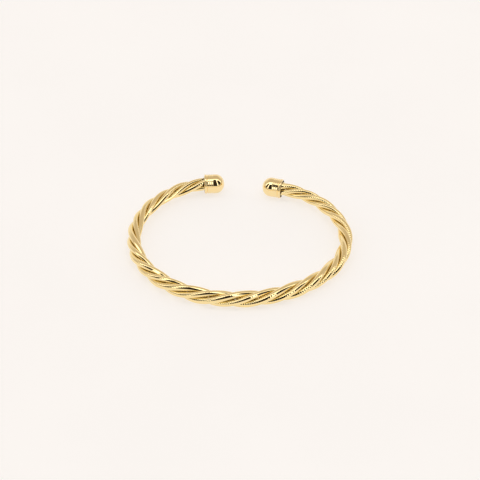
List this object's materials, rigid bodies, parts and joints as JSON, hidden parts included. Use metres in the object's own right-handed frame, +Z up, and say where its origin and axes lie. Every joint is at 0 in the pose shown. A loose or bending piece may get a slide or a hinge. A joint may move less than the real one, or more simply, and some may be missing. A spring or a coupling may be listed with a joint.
{
  "type": "open twisted bangle",
  "caption": "Open oval bangle of round reeded strands twisted into a tapering rope, with a domed cap on each end.",
  "frame": {"origin": "middle of the bangle's base, on the surface that it lies on", "axes": "+X across the oval's longer width, +Y towards the opening between the caps at the back, +Z up through the wrist opening"},
  "size_m": [0.0666, 0.056, 0.006],
  "materials": {
    "strands": "polished gold plate over fine cross reeding",
    "caps": "mirror polished gold plate"
  },
  "bodies": {
    "root": {"strand_1": "strands", "strand_2": "strands", "strand_3": "strands", "strand_4": "strands", "end_cap_left": "caps", "end_cap_right": "caps"}
  },
  "joints": []
}
